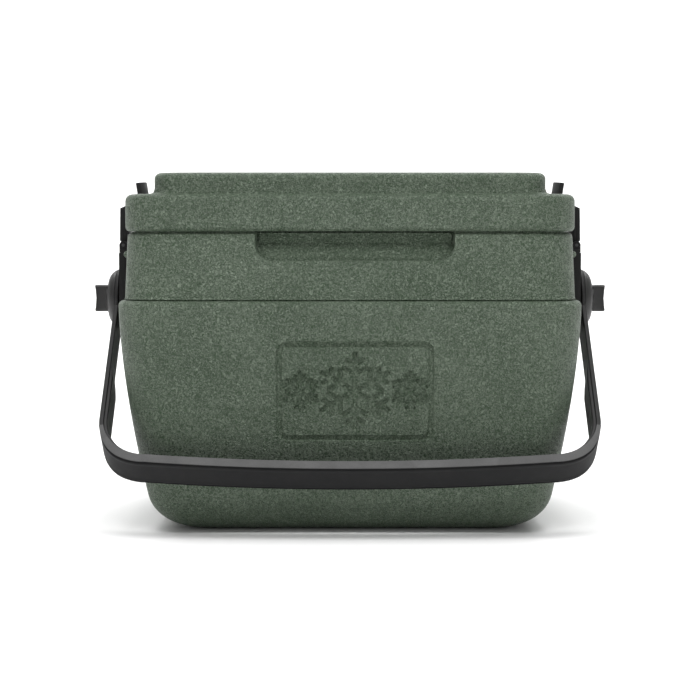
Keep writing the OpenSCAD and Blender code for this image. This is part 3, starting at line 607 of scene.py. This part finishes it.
def build_body():
    rows = body_profile()
    points = body_columns().rings(rows)
    top_row = max(i for i, row in enumerate(rows) if row[3] > BODY_H - 0.01)
    outer = np.zeros(points.shape[:2], bool)
    outer[:top_row + 1] = True
    x, y, z = points[..., 0].copy(), points[..., 1].copy(), points[..., 2].copy()

    # finger recess: the front is pushed back to a flat face
    front = y < -100
    edge = recess_distance(x, z)
    mask = front * np.where(outer, inside(edge, 1.0), inside(recess_distance(x, z, SKIN), 1.0))
    target = np.where(outer, RECESS_Y, RECESS_Y + SKIN)
    y += np.maximum(target - y, 0) * mask
    groove = inside(np.abs(edge + 1.3) - 0.6, 0.9) * outer * front * (z < BODY_H - 1)
    y += RECESS_GROOVE * groove

    # emblem, sunk into the front
    front = outer & (y < -100) & (z > 60) & (z < SHOULDER_H - EDGE_R)
    y += np.where(front, emblem_depth(x, z), 0)

    # seats of the side brackets
    below = np.hypot(y, z - PIVOT_H) - SEAT_R
    seat = np.where(z < PIVOT_H, below, np.abs(y) - SEAT_R)
    seat = np.maximum(seat, z - SEAT_TOP)
    flat = inside(seat, 1.8) * outer * (np.abs(x) > 180)
    x += np.sign(x) * np.maximum(SEAT_X - np.abs(x), 0) * flat

    # pads of the hinges on the back
    middle_x, middle_z = sum(PAD_X) / 2, sum(PAD_Z) / 2
    pad = rounded_box(np.abs(x) - middle_x, z - middle_z, middle_x - PAD_X[0], middle_z - PAD_Z[0], 2)
    raised = inside(pad, 2.5) * outer * (y > 100)
    y += np.maximum(PAD_Y - y, 0) * raised

    body = loft("body_coat", np.stack([x, y, z], -1))
    place(body, "body", ["body_shell"], COAT, 50)

    for side, label in ((-1, "left"), (1, "right")):
        for end, where in ((-1, "front"), (1, "back")):
            foot = [(TOP_W - 1, LUG_R + 1.2), (TOP_W + 0.6, LUG_R + 0.2)]
            dome = [(LUG_X + LUG_R * math.sin(a), LUG_R * math.cos(a))
                    for a in np.radians(np.arange(0, 86, 12))]
            profile = [(side * x_out, radius) for x_out, radius in foot + dome]
            lug = lathe(f"body_lug_{where}_{label}", profile, (0, end * LUG_Y, LUG_Z), 32)
            place(lug, "body", [], COAT)


# ---------------------------------------------------------------- liner of the cavity
def build_liner():
    flange_w, flange_d, flange_r = TOP_W - LAP - 0.1, TOP_D - LAP - 0.1, UPPER_R - LAP
    rows = []

    def bucket(t, up):
        r = FLOOR_R - t
        base_w, base_d = CAVITY_W - CAVITY_DRAFT - t, CAVITY_D - CAVITY_DRAFT - t
        wall = [(base_w - r * (1 - math.sin(a)), base_d - r * (1 - math.sin(a)), CAVITY_R - t,
                 FLOOR_T + t + r * (1 - math.cos(a))) for a in np.radians(np.linspace(0, 90, 10))]
        floor = [((base_w - r) * k, (base_d - r) * k, (CAVITY_R - t) * k, FLOOR_T + t)
                 for k in (0.03, 0.4, 0.8)]
        out = floor + wall + [(CAVITY_W - t, CAVITY_D - t, CAVITY_R - t, BODY_H - (LINER if up else 3))]
        return out if up else out[::-1]

    rows += bucket(0, True)
    rows += [(flange_w, flange_d, flange_r, BODY_H - LINER), (flange_w, flange_d, flange_r, BODY_H - 0.4),
             (flange_w - 0.4, flange_d - 0.4, flange_r - 0.4, BODY_H)]
    for a in np.radians((0, 30, 60)):
        g = 3 * (1 - math.sin(a))
        rows.append((CAVITY_W - LINER + g, CAVITY_D - LINER + g, CAVITY_R - LINER + g,
                     BODY_H - 3 * (1 - math.cos(a))))
    rows += bucket(LINER, False)
    cols = Columns(steps(-120, (120, 12)), steps(-60, (60, 12)), steps(-120, (120, 12)), 10, 4)
    points = cols.rings(rows)
    liner = loft("cavity_liner", points)
    place(liner, "body", ["body_liner"], LINER_SKIN, 40)


# ---------------------------------------------------------------- lid
def lid_columns():
    side = steps(-34, (-26.5, 0.75), (17, 1.5), (27, 0.5), (34, 1.5))
    return Columns(steps(-120, (120, 6)), side, steps(-120, (120, 6)), 14, 8)


def lid_profile():
    """The outside from its lower edge to the crown, then the inside back down."""
    rows = []
    for set_in, drop in list(quarter(EDGE_R, 8))[::-1]:
        rows.append((RIM_W - set_in, RIM_D - set_in, UPPER_R - set_in, LID_Z + drop))
    for z in steps(LID_Z + EDGE_R, (RIM_Z - RIM_EDGE, 3))[1:]:
        rows.append((RIM_W, RIM_D, UPPER_R, z))
    for set_in, drop in list(quarter(RIM_EDGE, 10))[1:]:
        rows.append((RIM_W - set_in, RIM_D - set_in, UPPER_R - set_in, RIM_Z - drop))
    inner_w, inner_d, inner_r = RIM_W - RIM_EDGE, RIM_D - RIM_EDGE, UPPER_R - RIM_EDGE
    foot = 2.2
    foot_w, foot_d, foot_r = PANEL_W + foot, PANEL_D + foot, PANEL_R + foot
    for x in (NOTCH_X + 3, NOTCH_X + 0.8, NOTCH_X, NOTCH_X - 3, LEDGE_X + 1.4, LEDGE_X + 0.5, LEDGE_X - 0.5,
              LEDGE_X - 1.4, LEDGE_X - 6):
        t = (inner_w - x) / (inner_w - foot_w)
        rows.append((x, inner_d + (foot_d - inner_d) * t, inner_r + (foot_r - inner_r) * t, RIM_Z))
    for set_in, drop in quarter(foot, 5, 90, 0):
        rows.append((PANEL_W + drop, PANEL_D + drop, PANEL_R + drop, RIM_Z + set_in))
    edge_z = PANEL_TOP - PANEL_CROWN
    for z in steps(RIM_Z + foot, (edge_z - PANEL_EDGE, 3))[1:]:
        rows.append((PANEL_W, PANEL_D, PANEL_R, z))
    for set_in, drop in list(quarter(PANEL_EDGE, 9, 0, 84))[1:]:
        rows.append((PANEL_W - set_in, PANEL_D - set_in, PANEL_R - set_in * 0.6, edge_z - drop))
    start_w, start_d, start_z = PANEL_W - PANEL_EDGE, PANEL_D - PANEL_EDGE, edge_z
    for k in (0.97, 0.92, 0.85, 0.75, 0.6, 0.45, 0.3, 0.15, 0.03):
        rows.append((start_w * k, start_d * k, (PANEL_R - PANEL_EDGE * 0.6) * k,
                     start_z + (PANEL_TOP - start_z) * (1 - k ** 2.2)))
    outer = len(rows)
    for k in (0.03, 0.5, 0.9):
        rows.append((start_w * k, start_d * k, PANEL_R * k * 0.8, edge_z - SKIN))
    rows.append((PANEL_W - PANEL_EDGE, PANEL_D - PANEL_EDGE, PANEL_R - PANEL_EDGE, edge_z - SKIN))
    rows += [(PANEL_W - SKIN, PANEL_D - SKIN, PANEL_R - SKIN, z) for z in (edge_z - PANEL_EDGE, RIM_Z - SKIN)]
    rows += [(LEDGE_X - 4, inner_d - 2, inner_r, RIM_Z - SKIN - 0.5)]
    rows += [(RIM_W - RIM_EDGE, RIM_D - RIM_EDGE, inner_r, RIM_Z - SKIN)]
    rows += [(RIM_W - SKIN, RIM_D - SKIN, UPPER_R - SKIN, z) for z in (RIM_Z - RIM_EDGE, LID_Z + SKIN)]
    rows += [(RIM_W - LAP, RIM_D - LAP, UPPER_R - LAP, z) for z in (LID_Z + SKIN, LID_Z)]
    return rows, outer


def cut_notches(points, outer):
    """Stands the rim back for the latches, and lowers a ledge inside each notch."""
    x, y, z = points[..., 0].copy(), points[..., 1], points[..., 2].copy()
    grow = np.where(outer, 0, SKIN)
    middle, half = sum(NOTCH_Y) / 2, (NOTCH_Y[1] - NOTCH_Y[0]) / 2
    across = inside(np.abs(y - middle) - half - grow, 1.0) * (np.abs(x) > PANEL_W)
    wall = NOTCH_X - grow
    x = np.where(across > 0, np.sign(x) * (np.abs(x) - np.maximum(np.abs(x) - wall, 0) * across), x)
    low = inside(np.abs(y) - LEDGE_Y - grow, 1.0) * inside(LEDGE_X - grow - np.abs(x), 0.9)
    low = low * (np.abs(y) < LEDGE_Y + grow + 2)
    z = z - np.maximum(z - (LEDGE_Z - grow), 0) * low
    return np.stack([x, y, z], -1)


def build_lid():
    """The lid's skin as one closed form: the last inner row meets the first outer one."""
    rows, outer_rows = lid_profile()
    points = lid_columns().rings(rows)
    outer = np.zeros(points.shape[:2], bool)
    outer[:outer_rows] = True
    lid = loft("lid_coat", cut_notches(points, outer), closed=True)
    place(lid, "lid", ["lid_shell"], COAT, 50)


def build_lid_liner():
    z0, z1 = LID_Z, LID_Z + SEAT_T
    out_w, out_d, out_r = RIM_W - LAP - 0.1, RIM_D - LAP - 0.1, UPPER_R - LAP
    ring_out, ring_in = SEAL_IN + SEAL_W, SEAL_IN
    rows = [(out_w * k, out_d * k, out_r * k, z1) for k in (0.03, 0.5)]
    rows += [(out_w, out_d, out_r, z1), (out_w, out_d, out_r, z0 + 0.5),
             (out_w - 0.5, out_d - 0.5, out_r - 0.5, z0)]
    rows += [(PLUG_W + g, PLUG_D + g, PLUG_R + g, z) for g, z in
             ((ring_out, z0), (ring_out, z0 + SEAL_SINK), (ring_in, z0 + SEAL_SINK), (ring_in, z0), (2, z0))]
    rows += [(PLUG_W + g, PLUG_D + g, PLUG_R + g, z0 - h) for g, h in ((0.7, 0.4), (0, 1.8))]
    low = z0 - PLUG_H
    for set_in, drop in quarter(4, 6):
        rows.append((PLUG_W - set_in, PLUG_D - set_in, PLUG_R - set_in, low + drop))
    rows += [(PLUG_W * k, PLUG_D * k, PLUG_R * k, low + 0.8 * (1 - k)) for k in (0.9, 0.6, 0.3, 0.03)]
    cols = Columns(steps(-100, (100, 10)), steps(-60, (60, 10)), steps(-100, (100, 10)), 10, 5)
    points = cols.rings(rows)
    liner = loft("lid_underside", points)
    place(liner, "lid", ["lid_liner"], LINER_SKIN, 40)


def build_seal():
    """A soft hollow-section seal with a rounded face."""
    lo, hi = span("lid_gasket")
    middle = SEAL_IN + SEAL_W / 2
    half, tall = SEAL_W / 2 - 0.1, hi[2] - lo[2]
    rows = []
    for g, z in ((-half, 1), (half, 1), (half, 0.35), (half * 0.8, 0.12), (half * 0.4, 0), (-half * 0.4, 0),
                 (-half * 0.8, 0.12), (-half, 0.35)):
        rows.append((PLUG_W + middle + g, PLUG_D + middle + g, PLUG_R + middle + g, lo[2] + tall * z))
    cols = Columns(steps(-100, (100, 8)), steps(-60, (60, 8)), steps(-100, (100, 8)), 12, 4)
    seal = loft("lid_seal", cols.rings(rows), closed=True)
    place(seal, "lid", ["lid_gasket"], SEAL, 40)


# ---------------------------------------------------------------- handle
def handle_path():
    """Middle line of the strap, right pivot to left pivot, as points, outward normals and cover share."""
    straight = REACH - BEND
    arm = np.stack([np.full(14, ARM_MID), np.linspace(0, straight, 15)[:-1]], 1)
    a = np.radians(np.linspace(0, 90, 46))
    bend = np.stack([GRIP_HALF + BEND * np.cos(a), straight + BEND * np.sin(a)], 1)
    x = np.linspace(GRIP_HALF, 0, 60)[1:]
    grip = np.stack([x, REACH + BOW * (1 - (x / GRIP_HALF) ** 2)], 1)
    half = np.concatenate([arm, bend, grip])
    share = np.concatenate([np.zeros(14), smooth((np.degrees(a) - COVER_FROM) / (COVER_FULL - COVER_FROM)),
                            np.ones(59)])
    path = np.concatenate([half, (half * [-1, 1])[-2::-1]])
    share = np.concatenate([share, share[-2::-1]])
    tangent = np.gradient(path, axis=0)
    tangent /= np.linalg.norm(tangent, axis=1)[:, None]
    for _ in range(3):
        tangent[1:-1] = (tangent[:-2] + 2 * tangent[1:-1] + tangent[2:]) / 4
    tangent /= np.linalg.norm(tangent, axis=1)[:, None]
    normal = np.stack([tangent[:, 1], -tangent[:, 0]], 1)
    return path, normal, share


def at_rest(points):
    """Turns flat handle coordinates (across, away from the pivots, strap width) to the resting pose."""
    a = math.radians(REST_ANGLE)
    x, y, w = points[..., 0], points[..., 1], points[..., 2]
    return np.stack([x, y * math.cos(a) - w * math.sin(a), y * math.sin(a) + w * math.cos(a) + PIVOT_H], -1)


def strap_section(pad, tuck=0.0):
    """The strap with a set-back pad along its inner face. Tuck narrows it, for the cover to go round."""
    t, w = ARM_T / 2, ARM_W / 2 - tuck
    back = w - 1.6 * min(pad, 1)
    side = min(back, w - 0.9)
    half = np.array([(t, w / 2), (t, w - 1.1), (t - 0.3, w - 0.35), (t - 1.0, w), (-t + 0.6, w),
                     (-t + 0.1, w - 0.4), (-t, w - 0.9), (-t - pad * 0.1, side),
                     (-t - pad * 0.75, side), (-t - pad, side - 0.9), (-t - pad, w / 2)])
    return np.concatenate([half, half[::-1] * [1, -1]])


def sweep(name, path, normal, sections):
    rings = [np.column_stack([p + np.outer(s[:, 0], n), s[:, 1]]) for p, n, s in zip(path, normal, sections)]
    return loft(name, at_rest(np.array(rings)))


def cover_section(share):
    """The grip's moulded cover: it wraps the strap's edges, and a groove and a rib run along its face."""
    half = ARM_W / 2
    base, top = ARM_T / 2 + 0.05, ARM_T / 2 + COVER_T
    upper = np.array([
        (-base + 0.3, half - 0.3), (-base + 0.5, half), (0, half), (top - 1.7, half),
        (top - 1.1, half - 0.15), (top - 0.8, half - 0.6), (top - 1.0, half - 1.1),
        (top - 1.9, half - 1.5), (top - 2.0, half - 2.3), (top - 1.0, half - 2.9),
        (top - 0.25, half - 3.4), (top - 0.02, half - 4.3), (top - 0.1, half - 5.4),
        (top - 0.4, half - 6.3), (top - 0.45, half - 8)])
    lower = upper[::-1] * [1, -1]
    inner = np.array([(-base + 0.3, -half + 0.32), (base, -half + 0.34), (base, half - 0.34),
                      (-base + 0.3, half - 0.32)])
    section = np.concatenate([upper, lower, inner])
    out = section[:, 0]
    section[:, 0] = np.where(out > base, base + (out - base) * max(share, 0.04), out)
    return section


def build_handle():
    path, normal, share = handle_path()
    reach = np.abs(path[:, 1])
    pad = PAD_ARM * smooth((reach - PAD_FROM) / 25) + (PAD_GRIP - PAD_ARM) * share
    frame_obj = sweep("handle_strap", path, normal,
                      [strap_section(p, 0.4 * smooth(c / 0.15)) for p, c in zip(pad, share)])
    eyes = []
    for side in (-1, 1):
        profile = [(0, HUB_R - 0.8), (0.8, HUB_R), (ARM_T - 2.6, HUB_R), (ARM_T - 1.6, HUB_R - 0.5),
                   (ARM_T - 0.5, HUB_R - 1.5), (ARM_T, HUB_R - 2.6)]
        eyes.append(lathe("eye", [(side * (ARM_X + x), r) for x, r in profile], (0, 0, PIVOT_H)))
    for eye in eyes:
        soften(eye)
    soften(frame_obj)
    combine(frame_obj, eyes, "UNION")
    place(frame_obj, "handle", ["handle_frame"], ARM_NYLON, 35)

    covered = np.where(share > 0)[0]
    first, last = covered[0], covered[-1]
    sections = [cover_section(s) for s in share[first:last + 1]]
    cover = sweep("handle_cover", path[first:last + 1], normal[first:last + 1], sections)
    cover.data.materials.append(GRIP_FACE)
    cover.data.materials.append(GRIP_EDGE_HIGHLIGHT)
    cols = len(sections[0])
    last_face_col = 2 * COVER_SIDE_POINTS - 1
    # The cover's edge columns take the lighter grey: a painted highlight on the faces that catch the light.
    for poly in cover.data.polygons:
        on_ring = [v % cols for v in poly.vertices]
        col = min(v % cols for v in poly.vertices if v < cols * len(sections))
        across = max(on_ring) - col
        if across <= 1 and min(col, last_face_col - 1 - col) in range(COVER_HIGHLIGHT_COLS):
            poly.material_index = 1
    place(cover, "handle", ["handle_grip"], GRIP_FACE, 40)


def build_hub_caps():
    t = cap_hi[0] - cap_lo[0]
    profile = [(-0.05, HUB_R - 1.6), (1.2, HUB_R - 1.9), (2.6, HUB_R - 2.7), (4.0, HUB_R - 3.8),
               (5.4, HUB_R - 5.2), (6.6, HUB_R - 6.8), (7.6, HUB_R - 8.6), (8.3, HUB_R - 10.6),
               (t - 0.1, HUB_R - 12.4), (t, HUB_R - 13.5), (t, HUB_R - 17.5), (t - 0.5, HUB_R - 18.2),
               (t - 0.5, HUB_R - 21)]
    for side, label in ((-1, "left"), (1, "right")):
        cap = lathe(f"hub_cover_{label}", [(side * (ARM_OUT + x), r) for x, r in profile], (0, 0, PIVOT_H))
        hole = lathe("hole", [(side * (ARM_OUT - 2), 7.3), (side * (ARM_OUT + 8), 7.3)], (0, 0, PIVOT_H), 48)
        soften(cap)
        soften(hole)
        combine(cap, [hole], "DIFFERENCE")
        place(cap, "handle", [f"hub_cap_{label}"], HUB_NYLON, 30)


def build_knobs():
    x0, x1 = knob_lo[0], knob_hi[0]
    tall, dish = (knob_hi[2] - knob_lo[2]) / 2, 1.7
    hollow_r, waist = 22, 5
    middle = x0 + 2 + (x1 - x0) / 2
    angles = np.radians(np.linspace(-90, 270, 48, endpoint=False))
    rings = []

    def wing(x, set_in, scale=1.0):
        half_y = waist + hollow_r - math.sqrt(hollow_r ** 2 - (x - middle) ** 2) - set_in
        half_z = tall - set_in
        c, s = np.cos(angles), np.sin(angles)
        y = half_y * np.sign(c) * np.abs(c) ** KNOB_SQUARENESS * scale
        z = half_z * np.sign(s) * np.abs(s) ** KNOB_SQUARENESS * scale
        drop = tall - np.sqrt(np.maximum(tall ** 2 - y ** 2, 0))
        z = np.sign(z) * np.maximum(np.abs(z) - drop * (np.abs(z) / half_z), 0)
        return y, z

    spots = [(x0 + 1, 0)] + [(x, 0) for x in np.linspace(x0 + 2, x1 - 1.2, 14)]
    spots += [(x1 - 0.8, 0.1), (x1 - 0.35, 0.35), (x1, 0.9)]
    for x, set_in in spots:
        y, z = wing(x, set_in)
        share = max(0, (x - (x1 - 5)) / 5)
        rings.append(np.stack([x - dish * share * (1 - (z / tall) ** 2), y, z + PIVOT_H], 1))
    for scale in (0.8, 0.55, 0.3, 0.06):
        y, z = wing(x1, 0.9, scale)
        rings.append(np.stack([x1 - dish * (1 - (z / tall) ** 2), y, z + PIVOT_H], 1))
    knob = loft("knob_grip_right", rings)
    base = lathe("base", [(x0, 11.6), (x0 + 0.4, 12), (x0 + 1.6, 12), (x0 + 2, 11.5)], (0, 0, PIVOT_H), 64)
    web = span("knob_screw_right")[1][0] - 2.4 - 0.4
    cup = lathe("cup", [(web, 4.7), (x1 + 5, 4.7)], (0, 0, PIVOT_H), 48)
    bore = lathe("bore", [(x0 - 5, 4.06), (web - 2.2, 4.06)], (0, 0, PIVOT_H), 48)
    thin = lathe("thin", [(x0 - 4, 2.8), (x1 + 4, 2.8)], (0, 0, PIVOT_H), 48)
    for obj in (knob, base, cup, bore, thin):
        soften(obj)
    combine(knob, [base], "UNION")
    combine(knob, [cup, bore, thin], "DIFFERENCE")
    twin = mirrored(knob, "knob_grip_left")
    place(knob, "knob_r", ["knob_right"], HUB_NYLON, 30)
    place(twin, "knob_l", ["knob_left"], HUB_NYLON, 30)


# ---------------------------------------------------------------- brackets, latches, hinges and small parts
def build_fittings():
    for label, latch_body in (("left", "latch_l"), ("right", "latch_r")):
        plate = softened_copy(f"bracket_plate_{label}", f"side_bracket_{label}", 0.5)
        place(plate, "body", [f"side_bracket_{label}"], NYLON, 30)
        latch = softened_copy(f"latch_arm_{label}", f"latch_{label}", 0.6)
        place(latch, latch_body, [f"latch_{label}"], NYLON, 30)
        lip = softened_copy(f"latch_rubber_{label}", f"latch_lip_{label}", 0.7, 3)
        place(lip, latch_body, [f"latch_lip_{label}"], SEAL, 30)
        for half, body in (("body", "body"), ("lid", "lid")):
            leaf = softened_copy(f"hinge_{half}_{label}", f"hinge_leaf_{half}_{label}", 0.45)
            place(leaf, body, [f"hinge_leaf_{half}_{label}"], NYLON, 30)


def finish_cad_nodes():
    """Materials for the CAD nodes that are shown as they are."""
    kept = {"latch_pin": DARK_STEEL, "screw": STEEL, "axle_insert": BRASS, "inserts": BRASS,
            "pivot_axle": STEEL, "pin": STEEL, "foam": FOAM, "bush": BUSH}
    for name, obj in nodes.items():
        for key, material in kept.items():
            if key in name:
                obj.data.materials.clear()
                obj.data.materials.append(material)
                break


# ---------------------------------------------------------------- floor, light and camera
def build_stage():
    mat, tree, shader = new_material("pale_floor")
    where = object_space(tree)
    soft = noise(tree, where, 3, 2, 0.5)
    tree.links.new(ramp(tree, soft, [(0.3, (0.90, 0.90, 0.90)), (0.7, (0.93, 0.93, 0.93))]),
                   shader.inputs["Base Color"])
    shader.inputs["Roughness"].default_value = 0.9
    shader.inputs["Specular IOR Level"].default_value = 0.1
    size, far, bend = 7.0, 3.5, 1.2
    curve = [(far + bend * math.sin(a), bend * (1 - math.cos(a))) for a in np.radians(np.arange(0, 91, 6))]
    profile = [(-size, 0)] + curve + [(far + bend, 5.0)]
    points = [(x, y, z) for y, z in profile for x in (-size, size)]
    faces = [(2 * i, 2 * i + 1, 2 * i + 3, 2 * i + 2) for i in range(len(profile) - 1)]
    floor = mesh_object("studio_floor", np.array(points) / MM, faces)
    for poly in floor.data.polygons:
        poly.use_smooth = True
    floor.data.materials.append(mat)


def area_light(name, place_at, aim, size, power, colour=(1, 1, 1)):
    data = bpy.data.lights.new(name, "AREA")
    data.shape = "RECTANGLE"
    data.size, data.size_y = size
    data.energy = power
    data.color = colour
    obj = bpy.data.objects.new(name, data)
    bpy.context.scene.collection.objects.link(obj)
    obj.location = place_at
    obj.rotation_euler = (Vector(aim) - Vector(place_at)).to_track_quat("-Z", "Y").to_euler()


WORLD_STRENGTH = 0.42
CAMERA_DISTANCE = 1.706         # metres from the middle of the part
CAMERA_HEIGHT = 0.2975
CAMERA_TILT = 4.11              # degrees down
LENS = 82.3


def build_light():
    world = bpy.data.worlds.new("studio")
    bpy.context.scene.world = world
    world.use_nodes = True
    back = world.node_tree.nodes["Background"]
    back.inputs["Color"].default_value = (1, 1, 1, 1)
    back.inputs["Strength"].default_value = WORLD_STRENGTH
    area_light("key", (0, -1.6, 3.2), (0, 0, 0.2), (2.2, 1.2), 76)
    area_light("back_wash", (0, 2.6, 3.4), (0, 3.0, 0), (6.0, 2.0), 190)
    area_light("floor_wash", (0, -0.9, 3.6), (0, -0.9, 0), (5.0, 2.0), 60)
    scene = bpy.context.scene
    scene.view_settings.view_transform = "Standard"
    scene.view_settings.look = "None"
    scene.view_settings.exposure = 0
    scene.view_settings.gamma = 1


def build_camera():
    data = bpy.data.cameras.new("camera")
    data.sensor_width = 36
    data.lens = LENS
    data.clip_end = 50
    camera = bpy.data.objects.new("camera", data)
    bpy.context.scene.collection.objects.link(camera)
    camera.location = (0, -CAMERA_DISTANCE, CAMERA_HEIGHT)
    camera.rotation_euler = (math.radians(90 - CAMERA_TILT), 0, 0)
    bpy.context.scene.camera = camera


build_camera()
build_light()
build_stage()
build_body()
build_liner()
build_lid()
build_lid_liner()
build_seal()
build_handle()
build_hub_caps()
build_knobs()
build_fittings()
finish_cad_nodes()
